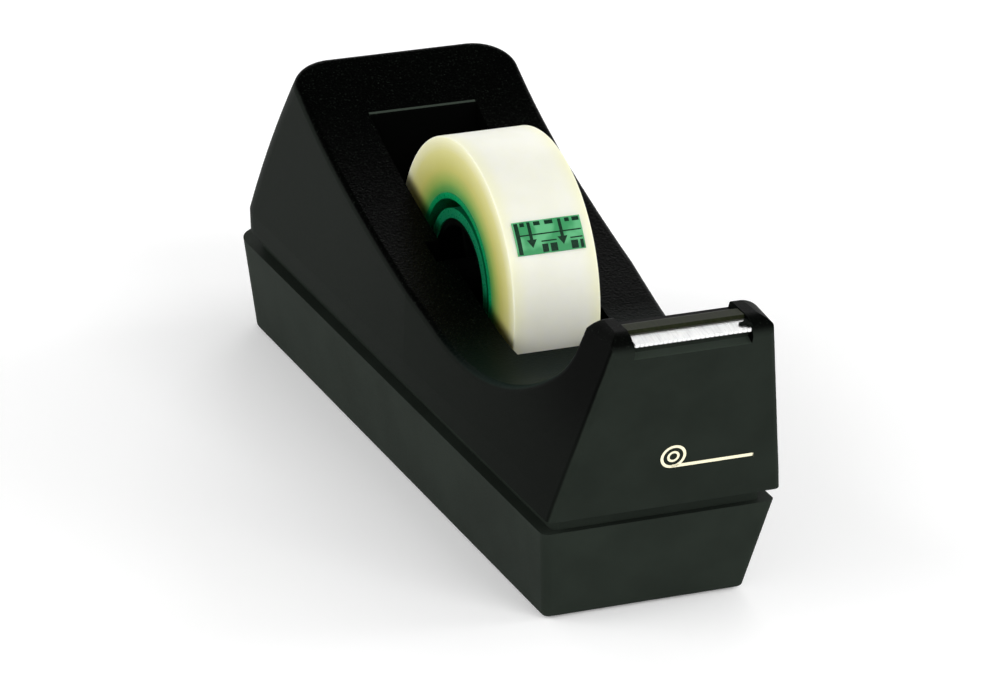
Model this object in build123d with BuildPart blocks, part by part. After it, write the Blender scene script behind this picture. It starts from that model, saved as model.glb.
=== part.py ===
from build123d import *
import os
from math import cos, radians, sin, sqrt, tan

# Desktop tape dispenser, in millimetres. +Z up, and the cutting edge faces -Y.
# Lengths called y run back from the front top edge of the base, and z is the height
# above the table. DATUM_Y puts the middle of the overall length at the origin.

# Base
BASE_LENGTH = 166.3
NOSE_REACH = 11.3
DATUM_Y = -(BASE_LENGTH - NOSE_REACH) / 2
BASE_TOP_Z = 21.0
BASE_BOTTOM_Z = 0.5
BASE_TOP_HALF = 24.9
BASE_BOTTOM_HALF = 21.6
BASE_FRONT_RAKE = 5.2
BASE_REAR_RAKE = 0.6
BASE_WALL = 2.2
BASE_FOOT_ROUND = 0.8
REAR_CORNER = 8.0
FRONT_CORNER = 1.6
FLOOR_TOP_Z = 3.2
CAVITY_TOP_HALF = 20.3
NECK_TOP_Z = 27.5
NECK_HALF = 22.3
NECK_FRONT_Y = 1.5
NECK_REAR_Y = 160.6

# Upper housing: skirt, sides, rear and long slope
SKIRT_Z = 24.5
CREASE_Z = 29.2
SKIRT_HALF = 24.9
BODY_HALF = 25.2
WALL = 2.2
EDGE_ROUND = 1.4
UPPER_REAR_CORNER = 9.5
REAR_FOOT_Y = 163.2
REAR_LEAN = 0.519
REAR_CURVE = 0.0033
REAR_SECTION_ZS = (43.0, 57.0, 72.0)
SLOPE_TOP = (141.0, 71.8)
SLOPE_TOP_DIRECTION = (-0.9, -0.42)
SLOPE_POINTS = [(124.5, 63.1), (97.7, 52.4), (73.5, 45.6)]
VALLEY_RADIUS = 57.0
VALLEY_CENTRE = (42.0, 96.6)
VALLEY_START_DEG = 14.0
VALLEY_TURN_DEG = 52.0
SLOPE_DEG = 22.0
VALLEY_FLOOR_Z = VALLEY_CENTRE[1] - VALLEY_RADIUS - EDGE_ROUND
TALL_Z = 80.0

# Nose
TWIST_START_Y = 70.0
NOSE_STATION_Y = -14.0
NOSE_SPLIT_Y = 4.0
NOSE_LEAN = 0.198
NOSE_PINCH = 1.35
NOSE_BACK_RADIUS = 16.3
NOSE_BACK_TURN_DEG = 30.0
NOSE_TOP_Z = 65.4
NOSE_REAR_TOP = (-0.5, NOSE_TOP_Z)
NOSE_CREST = (-6.6, 65.2)
NOSE_FRONT_TOP = (-9.9, 64.0)
NOSE_FRONT_EDGE = (-NOSE_REACH, 62.0)
NOSE_FRONT_FOOT = (-2.2, SKIRT_Z)
NOSE_CORE_Z = 55.0
SHOULDER_ROUND = 5.4
SHOULDER_SPARE = 0.4

# Well for the roll, with the axle slots in its walls
ROLL_Y = 80.5
ROLL_Z = 40.6
WELL_HALF = 12.0
WELL_RADIUS = 35.0
WELL_Y = 78.0
WELL_Z = 44.0
WELL_REAR_LEAN_DEG = 20.0
WELL_WALL = 2.2
SLOT_HALF = 2.5
SLOT_REACH = 15.2
SLOT_PAD_HALF = 6.5
SLOT_PAD_REACH = 17.4
SLOT_PAD_BOTTOM_Z = 33.0
SLOT_MOUTH_HALF = 10.0
SLOT_MOUTH_Z = 43.6

# Cutter and tape rest, between the shoulders of the nose
CUTTER_HALF = 12.4
BLADE_HALF = 12.25
BLADE_SHEET = 0.6
BLADE_HEEL = (-7.9, 64.3)
BLADE_TIP = (-10.9, 63.6)
TOOTH_PITCH = 0.98
TOOTH_COUNT = 25
TOOTH_DEPTH = 0.5
REST_REAR_Y = -3.2
REST_TOP_Z = 65.1
REST_BOTTOM_Z = 60.6
REST_ROUND = 1.2
SEAT_GAP = 0.1
NOTCH_REAR_Y = 6.0
NOTCH_Z = 63.7
BEVEL_Y = -9.1
BEVEL_REAR_Z = 61.3
BEVEL_FOOT_Z = 60.5
REST_SCREW_PLACES = [(-8.0, -4.8), (8.0, -4.8)]
REST_SCREW_RADIUS = 1.25
REST_SCREW_HEAD_RADIUS = 2.3
REST_SCREW_HEAD = 1.5
REST_SCREW_TIP_Z = 63.4

# Roll, core, hub and axle pin
ROLL_RADIUS = 29.6
ROLL_HALF = 9.5
CORE_OUTER = 18.0
CORE_RIM_INNER = 16.8
CORE_TUBE_OUTER = 14.8
CORE_BORE = 12.75
CORE_TUBE_HALF = 9.0
CORE_WEB_HALF = 3.0
WOUND_GAP = 0.02
PIN_RADIUS = 2.4
PIN_HALF = 14.9
PIN_CHAMFER = 0.4
HUB_BORE = 2.46
HUB_RADIUS = 12.65
HUB_RIM_INNER = 11.3
HUB_FACE_X = 8.6
HUB_BOSS_RADIUS = 4.3
HUB_BOSS_X = 11.5
HUB_WEB = (1.0, 3.0)
HUB_RIB = 1.2
HUB_RIB_X = 6.2
HUB_RIBS = 6
HUB_PEG_CIRCLE = 8.0
HUB_PEG_RADIUS = 1.5
HUB_PEG_TIP_X = 3.6
HUB_PEG_GAP = 0.08
HUB_PEGS = 3
TAB_HALF = 7.4
TAB_START_DEG = 136.6
TAB_END_DEG = 150.0
TAB_SHEET = 0.2

# Ballast, screws and foot pad
BALLAST_HALF = 18.0
BALLAST_TOP_Z = 19.0
BALLAST_FRONT_Y = 7.8
BALLAST_REAR_Y = 157.0
BALLAST_GAP = 0.7
BALLAST_SCREW_PLACES = [(0.0, 33.0), (0.0, 126.0)]
BALLAST_BOSS_RADIUS = 3.6
BALLAST_BOSS_Z = 9.0
SCREW_RADIUS = 1.75
SCREW_HOLE_RADIUS = 2.0
SCREW_HEAD_RADIUS = 3.4
SCREW_HEAD = 2.2
SCREW_LENGTH = 18.0
PILOT_RADIUS = 1.8
POST_RADIUS = 5.0
POST_TOP_Z = 12.0
POST_SEAT_Z = 5.4
POST_RECESS_RADIUS = 3.7
POST_PLACES = [(x, y) for x in (-14.0, 14.0) for y in (15.0, 146.0)]
BOSS_RADIUS = 3.6
BOSS_HOLE_Z = 28.0
PAD_TOP_Z = 1.2
PAD_MARGIN = 2.4
PAD_GAP = 0.2

# The side plane has y along its own x, and z up. Its origin is the base's front top edge.
SIDE = Plane(origin=(0, DATUM_Y, 0), x_dir=(0, 1, 0), z_dir=(1, 0, 0))


def level(z):
    """Horizontal plane at height z, with its origin over the base's front top edge."""
    return Plane(origin=(0, DATUM_Y, z))


def station(y):
    """Upright cross-section plane at y, with x across and z up."""
    return Plane(origin=(0, DATUM_Y + y, 0), x_dir=(1, 0, 0), z_dir=(0, -1, 0))


def roll_plane(x):
    """Plane across the roll's axis at x. Its own x runs back, and its own y runs up."""
    return Plane(origin=(x, DATUM_Y + ROLL_Y, ROLL_Z), x_dir=(0, 1, 0), z_dir=(1, 0, 0))


def save(name, solid):
    """Label a finished piece and write it to the parts folder."""
    solid.label = name
    export_step(solid, f"parts/{name}.step")


def prism(points, half):
    """Solid of a side outline, from -half to half across the dispenser."""
    with BuildPart() as solid:
        with BuildSketch(SIDE.offset(-half)):
            with BuildLine():
                Polyline(*points, close=True)
            make_face()
        extrude(amount=2 * half)
    return solid.part


def posts(places, low, high, radius):
    """Round posts, or the holes in them, between two heights."""
    with BuildPart() as group:
        with BuildSketch(level(low)):
            with Locations(*places):
                Circle(radius)
        extrude(amount=high - low)
    return group.part


def screws(places, seat_z, tip_z, radius, head_radius, head):
    """Round-headed screws with their heads under or over seat_z, away from the tip."""
    away = -head if tip_z > seat_z else head
    with BuildPart() as group:
        add(posts(places, min(seat_z, tip_z), max(seat_z, tip_z), radius))
        with BuildSketch(level(seat_z)):
            with Locations(*places):
                Circle(head_radius)
        extrude(amount=away)
        outer = group.edges().group_by(Axis.Z)[0 if away < 0 else -1]
        fillet(outer, head / 4)
    return group.part


# ---------------------------------------------------------------- outlines of the two bodies


def base_outline(half, front, rear, rear_radius, front_radius):
    """Plan outline of the base: large rear corners and small front ones."""
    with BuildSketch(Plane.XY) as outline:
        with Locations((0, (front + rear) / 2)):
            Rectangle(2 * half, rear - front)
        fillet(outline.vertices().group_by(Axis.Y)[-1], rear_radius)
        fillet(outline.vertices().group_by(Axis.Y)[0], front_radius)
    return outline.sketch


def rear_y(z):
    """Place of the upper housing's rear face at height z: upright at the skirt, then leaning."""
    rise = max(0.0, z - CREASE_Z)
    return REAR_FOOT_Y - REAR_LEAN * rise - REAR_CURVE * rise ** 2


def front_y(z):
    """Place of the nose's leaning front face at height z."""
    rise = (z - SKIRT_Z) / (NOSE_FRONT_EDGE[1] - SKIRT_Z)
    return NOSE_FRONT_FOOT[0] + rise * (NOSE_FRONT_EDGE[0] - NOSE_FRONT_FOOT[0])


def front_half(z, y):
    """Half width of the upper body at height z and place y, where the sides lean in."""
    share = max(0.0, TWIST_START_Y - y) / (TWIST_START_Y - NOSE_STATION_Y)
    pinch = NOSE_PINCH * min(1.0, (z - SKIRT_Z) / (CREASE_Z - SKIRT_Z))
    return BODY_HALF - share * (pinch + NOSE_LEAN * max(0.0, z - CREASE_Z))


def nose_outline(z, half, inset):
    """Plan outline at height z: narrow at the front face, full width where the lean starts."""
    y = front_y(z) + inset
    tip = half - BODY_HALF + front_half(z, y)
    with BuildSketch(Plane.XY) as outline:
        with BuildLine():
            Polyline((-tip, y), (tip, y), (half, TWIST_START_Y), (-half, TWIST_START_Y),
                     close=True)
        make_face()
        fillet(outline.vertices().group_by(Axis.Y)[0], FRONT_CORNER)
    return outline.sketch


def tail_outline(z, half, inset):
    """Plan outline at height z of the full-width part, with its round rear corners."""
    y = rear_y(z) - inset
    with BuildSketch(Plane.XY) as outline:
        with Locations((0, (TWIST_START_Y + y) / 2)):
            Rectangle(2 * half, y - TWIST_START_Y)
        fillet(outline.vertices().group_by(Axis.Y)[-1], UPPER_REAR_CORNER - inset)
    return outline.sketch


def upper_profile(inset):
    """Side outline of the upper housing's top: rear, long slope, valley and nose."""
    angle = radians(VALLEY_START_DEG)
    radius = VALLEY_RADIUS + inset
    drop = inset / cos(radians(SLOPE_DEG))
    start = (VALLEY_CENTRE[0] + radius * sin(angle), VALLEY_CENTRE[1] - radius * cos(angle))
    along = (-cos(angle), -sin(angle))
    slope_top, *slope_points = [(y, z - drop) for y, z in (SLOPE_TOP, *SLOPE_POINTS)]
    crest, top, edge = [(y, z - inset) for y, z in (NOSE_CREST, NOSE_FRONT_TOP, NOSE_FRONT_EDGE)]
    front = 2 * NOSE_STATION_Y
    rear = 2 * BASE_LENGTH
    with BuildLine() as outline:
        slope = Spline(slope_top, *slope_points, start, tangents=(SLOPE_TOP_DIRECTION, along))
        valley = JernArc(slope @ 1, slope % 1, radius, -VALLEY_TURN_DEG)
        rise = JernArc(valley @ 1, valley % 1, NOSE_BACK_RADIUS + inset, -NOSE_BACK_TURN_DEG)
        Polyline(rise @ 1, (NOSE_REAR_TOP[0] - inset, NOSE_TOP_Z - inset), crest)
        ThreePointArc(crest, top, edge)
        Polyline(edge, (front, edge[1]), (front, 0), (rear, 0), (rear, slope_top[1]), slope_top)
    return outline.line


def shoulder_limit(inset):
    """Everything behind the nose, and on the nose only what is under its round shoulders."""
    with BuildPart() as limit:
        for y in (NOSE_STATION_Y, NOSE_SPLIT_Y):
            top = front_half(NOSE_TOP_Z, y) - inset + SHOULDER_SPARE
            foot = BODY_HALF + SHOULDER_SPARE
            with BuildSketch(station(y)) as section:
                with BuildLine():
                    Polyline((-foot, 0), (foot, 0), (foot, CREASE_Z), (top, NOSE_TOP_Z - inset),
                             (-top, NOSE_TOP_Z - inset), (-foot, CREASE_Z), close=True)
                make_face()
                fillet(section.vertices().group_by(Axis.Y)[-1], SHOULDER_ROUND)
        loft(ruled=True)
        with BuildSketch(station(NOSE_SPLIT_Y)):
            with Locations((0, TALL_Z / 2)):
                Rectangle(3 * BODY_HALF, TALL_Z)
        extrude(amount=-2 * BASE_LENGTH)
    return limit.part


def upper_form(inset):
    """Sharp-edged form of the upper housing, or the form of its hollow for a wall of inset."""
    low = SKIRT_HALF - inset
    mid = BODY_HALF - inset
    with BuildPart() as form:
        for outline in (nose_outline, tail_outline):
            for z, half in ((SKIRT_Z, low), (CREASE_Z, mid)):
                with BuildSketch(level(z)):
                    add(outline(z, half, inset))
            loft(ruled=True)
        for z in (CREASE_Z, TALL_Z):
            with BuildSketch(level(z)):
                add(nose_outline(z, mid, inset))
        loft(ruled=True)
        for z in (CREASE_Z, *REAR_SECTION_ZS):
            with BuildSketch(level(z)):
                add(tail_outline(z, mid, inset))
        loft()
        with BuildSketch(SIDE.offset(-BASE_LENGTH)):
            with BuildLine():
                add(upper_profile(inset))
            make_face()
        extrude(amount=2 * BASE_LENGTH, mode=Mode.INTERSECT)
        add(shoulder_limit(inset), mode=Mode.INTERSECT)
    return form.part


def near(edge, y_low, y_high, z_low, z_high):
    """True when the middle of an edge lies inside a window of y and z."""
    middle = edge @ 0.5
    return y_low <= middle.Y - DATUM_Y <= y_high and z_low <= middle.Z <= z_high


def off_centre(edge):
    """True for an edge beyond the cutter's width, on either side."""
    return abs((edge @ 0.5).X) > CUTTER_HALF + 2


def rounded_form():
    """Upper form with the rim of its top surface and the back of its nose rounded."""
    with BuildPart() as form:
        add(upper_form(0))
        high = form.edges().filter_by(lambda e: near(e, 0.5, SLOPE_TOP[0], VALLEY_FLOOR_Z, TALL_Z))
        sides = high.filter_by(off_centre).filter_by(GeomType.BSPLINE)
        rear = high.sort_by(Axis.Z)[-1:]
        nose = form.edges().filter_by(lambda e: near(e, -0.7, 0.4, NOSE_FRONT_TOP[1], TALL_Z))
        fillet(sides + rear + nose, EDGE_ROUND)
    return form.part


# ---------------------------------------------------------------- upper housing


def well_space(grow, half):
    """Space that holds the roll, open at the top: a round front and floor, a leaning rear."""
    radius = WELL_RADIUS + grow
    lean = radians(WELL_REAR_LEAN_DEG)
    foot = (WELL_Y + radius * cos(lean), WELL_Z - radius * sin(lean))
    rear_top = (foot[0] + (TALL_Z - foot[1]) * tan(lean), TALL_Z)
    with BuildPart() as space:
        with BuildSketch(SIDE.offset(-half)):
            with Locations((WELL_Y, WELL_Z)):
                Circle(radius)
            with BuildLine():
                Polyline((WELL_Y - radius, WELL_Z), foot, rear_top, (WELL_Y - radius, TALL_Z),
                         close=True)
            make_face()
        extrude(amount=2 * half)
    return space.part


def slot_pads():
    """Thick pads outside the well walls, where the axle slots are cut."""
    middle = (WELL_HALF + SLOT_PAD_REACH) / 2
    with BuildPart() as pads:
        with BuildSketch(level(SLOT_PAD_BOTTOM_Z)):
            with Locations((-middle, ROLL_Y), (middle, ROLL_Y)):
                Rectangle(SLOT_PAD_REACH - WELL_HALF, 2 * SLOT_PAD_HALF)
        extrude(amount=NOSE_TOP_Z - SLOT_PAD_BOTTOM_Z)
    return pads.part


def axle_slots():
    """Slots in both well walls: a round seat for the pin and a mouth that opens upwards."""
    with BuildPart() as slots:
        with BuildSketch(SIDE.offset(-SLOT_REACH)):
            with Locations((ROLL_Y, ROLL_Z)):
                Circle(SLOT_HALF)
            with Locations((ROLL_Y, (ROLL_Z + TALL_Z) / 2)):
                Rectangle(2 * SLOT_HALF, TALL_Z - ROLL_Z)
            with BuildLine():
                Polyline((ROLL_Y - SLOT_HALF, SLOT_MOUTH_Z), (ROLL_Y + SLOT_HALF, SLOT_MOUTH_Z),
                         (ROLL_Y + SLOT_MOUTH_HALF, TALL_Z), (ROLL_Y - SLOT_MOUTH_HALF, TALL_Z),
                         close=True)
            make_face()
        extrude(amount=2 * SLOT_REACH)
    return slots.part


def cutter_seat():
    """Cut between the shoulders: bed of the tape rest, slot of the blade and front bevel."""
    heel_y, heel_z = BLADE_HEEL
    tip_y, tip_z = BLADE_TIP
    slope = (heel_z - tip_z) / (heel_y - tip_y)
    ledge_y = heel_y - SEAT_GAP
    drop = BLADE_SHEET * sqrt(1 + slope ** 2) + SEAT_GAP
    out_y = 2 * NOSE_STATION_Y
    points = [(NOTCH_REAR_Y, TALL_Z), (NOTCH_REAR_Y, NOTCH_Z),
              (REST_REAR_Y + SEAT_GAP, NOTCH_Z), (REST_REAR_Y + SEAT_GAP, REST_BOTTOM_Z),
              (ledge_y, REST_BOTTOM_Z), (ledge_y, heel_z - slope * SEAT_GAP - drop),
              (BEVEL_Y, heel_z + slope * (BEVEL_Y - heel_y) - drop), (BEVEL_Y, BEVEL_REAR_Z),
              (front_y(BEVEL_FOOT_Z), BEVEL_FOOT_Z), (out_y, BEVEL_FOOT_Z), (out_y, TALL_Z)]
    return prism(points, CUTTER_HALF)


def filling():
    """Well walls, slot pads, screw bosses and nose rib, kept under the outer surface."""
    nose = [(-NOSE_REACH, NOSE_CORE_Z), (NOSE_SPLIT_Y, NOSE_CORE_Z), (NOSE_SPLIT_Y, TALL_Z),
            (-NOSE_REACH, TALL_Z)]
    with BuildPart() as solids:
        add(well_space(WELL_WALL, WELL_HALF + WELL_WALL))
        add(slot_pads())
        add(posts(POST_PLACES, POST_TOP_Z, TALL_Z, BOSS_RADIUS))
        add(prism(nose, CUTTER_HALF + WALL))
    with BuildPart() as inside:
        add(upper_form(WALL / 2))
        with BuildSketch(level(0)):
            add(base_outline(CAVITY_TOP_HALF, BALLAST_FRONT_Y, BALLAST_REAR_Y, 1, 1))
        extrude(amount=CREASE_Z)
        add(solids.part, mode=Mode.INTERSECT)
    return inside.part


def make_upper_housing():
    """Moulded upper body: shell, well with axle slots, cutter seat and screw bosses."""
    with BuildPart() as upper_housing:
        add(rounded_form())
        add(upper_form(WALL), mode=Mode.SUBTRACT)
        for outline in (nose_outline, tail_outline):
            with BuildSketch(level(SKIRT_Z)):
                add(outline(SKIRT_Z, SKIRT_HALF - WALL, WALL))
            extrude(amount=WALL, mode=Mode.SUBTRACT)
        add(filling())
        add(well_space(0, WELL_HALF), mode=Mode.SUBTRACT)
        add(axle_slots(), mode=Mode.SUBTRACT)
        add(cutter_seat(), mode=Mode.SUBTRACT)
        add(posts(POST_PLACES, POST_TOP_Z, BOSS_HOLE_Z, PILOT_RADIUS), mode=Mode.SUBTRACT)
        add(posts(REST_SCREW_PLACES, NOSE_CORE_Z, REST_BOTTOM_Z, REST_SCREW_RADIUS + SEAT_GAP),
            mode=Mode.SUBTRACT)
    save("upper_housing", upper_housing.part)


# ---------------------------------------------------------------- base and ballast


def make_base_tub():
    """Weighted base: tapered tub, neck that enters the skirt, screw posts and pad recess."""
    rear_low = BASE_LENGTH - BASE_REAR_RAKE
    with BuildPart() as base_tub:
        with BuildSketch(level(BASE_BOTTOM_Z)):
            add(base_outline(BASE_BOTTOM_HALF, BASE_FRONT_RAKE, rear_low, REAR_CORNER,
                             FRONT_CORNER))
        with BuildSketch(level(BASE_TOP_Z)):
            add(base_outline(BASE_TOP_HALF, 0, BASE_LENGTH, REAR_CORNER, FRONT_CORNER))
        loft(ruled=True)
        fillet(base_tub.edges().group_by(Axis.Z)[0], BASE_FOOT_ROUND)
        with BuildSketch(level(BASE_TOP_Z)):
            add(base_outline(NECK_HALF, NECK_FRONT_Y, NECK_REAR_Y, UPPER_REAR_CORNER - WALL,
                             FRONT_CORNER))
        extrude(amount=NECK_TOP_Z - BASE_TOP_Z)
        with BuildSketch(level(FLOOR_TOP_Z)):
            add(base_outline(BASE_BOTTOM_HALF - BASE_WALL, BASE_FRONT_RAKE + BASE_WALL / 2,
                             rear_low - 2 * BASE_WALL, REAR_CORNER - BASE_WALL, 1))
        with BuildSketch(level(NECK_TOP_Z)):
            add(base_outline(CAVITY_TOP_HALF, NECK_FRONT_Y + BASE_WALL, NECK_REAR_Y - BASE_WALL,
                             REAR_CORNER - BASE_WALL, 1))
        loft(ruled=True, mode=Mode.SUBTRACT)
        add(posts(POST_PLACES, FLOOR_TOP_Z, POST_TOP_Z, POST_RADIUS))
        add(posts(BALLAST_SCREW_PLACES, FLOOR_TOP_Z, BALLAST_BOSS_Z, BALLAST_BOSS_RADIUS))
        with BuildSketch(level(0)):
            add(pad_outline(PAD_GAP))
        extrude(amount=PAD_TOP_Z, mode=Mode.SUBTRACT)
        add(posts(POST_PLACES, 0, POST_TOP_Z, SCREW_HOLE_RADIUS), mode=Mode.SUBTRACT)
        add(posts(POST_PLACES, 0, POST_SEAT_Z, POST_RECESS_RADIUS), mode=Mode.SUBTRACT)
        add(posts(BALLAST_SCREW_PLACES, FLOOR_TOP_Z, BALLAST_BOSS_Z, PILOT_RADIUS),
            mode=Mode.SUBTRACT)
    save("base_tub", base_tub.part)


def pad_outline(grow):
    """Plan outline of the foot pad, or of its recess when it grows by the gap."""
    return base_outline(BASE_BOTTOM_HALF - PAD_MARGIN + grow,
                        BASE_FRONT_RAKE + PAD_MARGIN - grow,
                        BASE_LENGTH - BASE_REAR_RAKE - PAD_MARGIN + grow,
                        REAR_CORNER - PAD_MARGIN, FRONT_CORNER)


def make_foot_pad():
    """Non-slip foam sheet in the recess under the base."""
    with BuildPart() as foot_pad:
        with BuildSketch(level(0)):
            add(pad_outline(0))
        extrude(amount=PAD_TOP_Z)
    save("foot_pad", foot_pad.part)


def make_ballast_weight():
    """Cast weight that fills the tub, troughed for the well and notched round the posts."""
    notch = POST_RADIUS + BALLAST_GAP
    with BuildPart() as ballast_weight:
        with BuildSketch(level(FLOOR_TOP_Z)):
            add(base_outline(BALLAST_HALF, BALLAST_FRONT_Y, BALLAST_REAR_Y,
                             REAR_CORNER - BASE_WALL, 1))
            with Locations(*POST_PLACES):
                Circle(notch, mode=Mode.SUBTRACT)
            for x, y in POST_PLACES:
                with Locations((2 * x, y)):
                    Rectangle(2 * abs(x), 2 * notch, mode=Mode.SUBTRACT)
        extrude(amount=BALLAST_TOP_Z - FLOOR_TOP_Z)
        add(well_space(WELL_WALL + BALLAST_GAP, WELL_HALF + WELL_WALL + BALLAST_GAP),
            mode=Mode.SUBTRACT)
        add(posts(BALLAST_SCREW_PLACES, FLOOR_TOP_Z, BALLAST_TOP_Z, SCREW_HOLE_RADIUS),
            mode=Mode.SUBTRACT)
        add(posts(BALLAST_SCREW_PLACES, FLOOR_TOP_Z, BALLAST_BOSS_Z + BALLAST_GAP,
                  BALLAST_BOSS_RADIUS + BALLAST_GAP), mode=Mode.SUBTRACT)
    save("ballast_weight", ballast_weight.part)


def make_screws():
    """Screws of the housing, the ballast and the tape rest, one group for each size."""
    save("housing_screws", screws(POST_PLACES, POST_SEAT_Z, POST_SEAT_Z + SCREW_LENGTH,
                                  SCREW_RADIUS, SCREW_HEAD_RADIUS, SCREW_HEAD))
    save("ballast_screws", screws(BALLAST_SCREW_PLACES, BALLAST_TOP_Z, FLOOR_TOP_Z + SCREW_HEAD,
                                  SCREW_RADIUS, SCREW_HEAD_RADIUS, SCREW_HEAD))
    save("tape_rest_screws", screws(REST_SCREW_PLACES, NOSE_CORE_Z, REST_SCREW_TIP_Z,
                                    REST_SCREW_RADIUS, REST_SCREW_HEAD_RADIUS, REST_SCREW_HEAD))


# ---------------------------------------------------------------- cutter and tape rest


def make_cutter_blade():
    """Bent steel strip: a flange held in its slot, and a ramp that ends in saw teeth."""
    heel_y, heel_z = BLADE_HEEL
    tip_y, tip_z = BLADE_TIP
    section = [(heel_y + BLADE_SHEET, REST_BOTTOM_Z), (heel_y + BLADE_SHEET, heel_z),
               BLADE_HEEL, BLADE_TIP, (tip_y, tip_z - BLADE_SHEET), (heel_y, heel_z - BLADE_SHEET),
               (heel_y, REST_BOTTOM_Z)]
    with BuildPart() as cutter_blade:
        add(prism(section, BLADE_HALF))
        with BuildSketch(level(REST_BOTTOM_Z)):
            for number in range(TOOTH_COUNT + 1):
                x = (number - TOOTH_COUNT / 2) * TOOTH_PITCH
                with BuildLine():
                    Polyline((x - TOOTH_PITCH / 2, tip_y - 2 * TOOTH_DEPTH),
                             (x - TOOTH_PITCH / 2, tip_y - BLADE_SHEET / 2),
                             (x, tip_y - BLADE_SHEET / 2 + TOOTH_DEPTH),
                             (x + TOOTH_PITCH / 2, tip_y - BLADE_SHEET / 2),
                             (x + TOOTH_PITCH / 2, tip_y - 2 * TOOTH_DEPTH), close=True)
                make_face()
        extrude(amount=NOSE_TOP_Z - REST_BOTTOM_Z, mode=Mode.SUBTRACT)
    save("cutter_blade", cutter_blade.part)


def make_tape_rest():
    """Smooth bar behind the blade, where the free end of the tape sticks."""
    front = BLADE_HEEL[0] + BLADE_SHEET + SEAT_GAP / 2
    with BuildPart() as tape_rest:
        with BuildSketch(SIDE.offset(-BLADE_HALF)) as section:
            with Locations(((front + REST_REAR_Y) / 2, (REST_BOTTOM_Z + REST_TOP_Z) / 2)):
                Rectangle(REST_REAR_Y - front, REST_TOP_Z - REST_BOTTOM_Z)
            fillet(section.vertices().group_by(Axis.Y)[-1].sort_by(Axis.X)[-1], REST_ROUND)
        extrude(amount=2 * BLADE_HALF)
        add(posts(REST_SCREW_PLACES, REST_BOTTOM_Z, REST_SCREW_TIP_Z + SEAT_GAP,
                  REST_SCREW_RADIUS + SEAT_GAP), mode=Mode.SUBTRACT)
    save("tape_rest", tape_rest.part)


# ---------------------------------------------------------------- roll, hub and axle


def ring(outer, inner, half):
    """Ring about the roll's axis, centred across the dispenser."""
    with BuildPart() as solid:
        with BuildSketch(roll_plane(-half)):
            Circle(outer)
            Circle(inner, mode=Mode.SUBTRACT)
        extrude(amount=2 * half)
    return solid.part


def make_hub_half(name, side):
    """Half of the hub: rim, web, ribs and boss. One half has pegs, and the other their holes."""
    web_low, web_high = HUB_WEB
    peg_plane = roll_plane(side * web_low)
    with BuildPart() as hub_half:
        with BuildSketch(roll_plane(0)):
            Circle(HUB_RADIUS)
            Circle(HUB_RIM_INNER, mode=Mode.SUBTRACT)
        extrude(amount=side * HUB_FACE_X)
        with BuildSketch(roll_plane(side * web_low)):
            Circle(HUB_RIM_INNER)
        extrude(amount=side * (web_high - web_low))
        with BuildSketch(roll_plane(side * web_high)):
            with PolarLocations((HUB_BOSS_RADIUS + HUB_RIM_INNER) / 2, HUB_RIBS):
                Rectangle(HUB_RIM_INNER - HUB_BOSS_RADIUS + 1, HUB_RIB)
        extrude(amount=side * (HUB_RIB_X - web_high))
        with BuildSketch(roll_plane(0)):
            Circle(HUB_BOSS_RADIUS)
        extrude(amount=side * HUB_BOSS_X)
        with BuildSketch(peg_plane):
            with PolarLocations(HUB_PEG_CIRCLE, HUB_PEGS, start_angle=180 / HUB_RIBS):
                Circle(HUB_PEG_RADIUS if side < 0 else HUB_PEG_RADIUS + HUB_PEG_GAP)
        if side < 0:
            extrude(amount=web_low + HUB_PEG_TIP_X)
        else:
            extrude(amount=web_high, mode=Mode.SUBTRACT)
        with BuildSketch(roll_plane(0)):
            Circle(HUB_BORE)
        extrude(amount=side * HUB_BOSS_X, mode=Mode.SUBTRACT)
    save(name, hub_half.part)


def make_axle_pin():
    """Steel pin that lies in the slots and carries the hub."""
    with BuildPart() as axle_pin:
        with BuildSketch(roll_plane(-PIN_HALF)):
            Circle(PIN_RADIUS)
        extrude(amount=2 * PIN_HALF)
        chamfer(axle_pin.edges().filter_by(GeomType.CIRCLE), PIN_CHAMFER)
    save("axle_pin", axle_pin.part)


def make_tape_core():
    """Plastic core of the roll: outer rim, inner tube and a web set in from both faces."""
    with BuildPart() as tape_core:
        add(ring(CORE_OUTER, CORE_RIM_INNER, ROLL_HALF))
        add(ring(CORE_RIM_INNER, CORE_TUBE_OUTER, CORE_WEB_HALF))
        add(ring(CORE_TUBE_OUTER, CORE_BORE, CORE_TUBE_HALF))
    save("tape_core", tape_core.part)


def make_starter_tab():
    """Short printed tab stuck on the outside of the roll, where the tape starts."""
    inner = ROLL_RADIUS + WOUND_GAP
    reach = 2 * ROLL_RADIUS
    edges = [(reach * cos(radians(a)), reach * sin(radians(a)))
             for a in (TAB_START_DEG, TAB_END_DEG)]
    with BuildPart() as starter_tab:
        with BuildSketch(roll_plane(-TAB_HALF)):
            Circle(inner + TAB_SHEET)
            Circle(inner, mode=Mode.SUBTRACT)
            with BuildLine():
                Polyline((0, 0), *edges, close=True)
            make_face(mode=Mode.INTERSECT)
        extrude(amount=2 * TAB_HALF)
    save("starter_tab", starter_tab.part)


def make_all():
    """Write every piece of the dispenser."""
    os.makedirs("parts", exist_ok=True)
    make_upper_housing()
    make_base_tub()
    make_ballast_weight()
    make_foot_pad()
    make_screws()
    make_cutter_blade()
    make_tape_rest()
    make_hub_half("hub_left", -1)
    make_hub_half("hub_right", 1)
    make_axle_pin()
    make_tape_core()
    save("tape_roll", ring(ROLL_RADIUS, CORE_OUTER + WOUND_GAP, ROLL_HALF))
    make_starter_tab()


make_all()
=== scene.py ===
"""Looks of a weighted desktop tape dispenser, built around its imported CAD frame.

Everything is in metres in the frame of the part: +Z up, the cutter towards -Y, width along X.
"""

import math

import bmesh
import bpy
from mathutils import Matrix, Vector, noise


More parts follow.
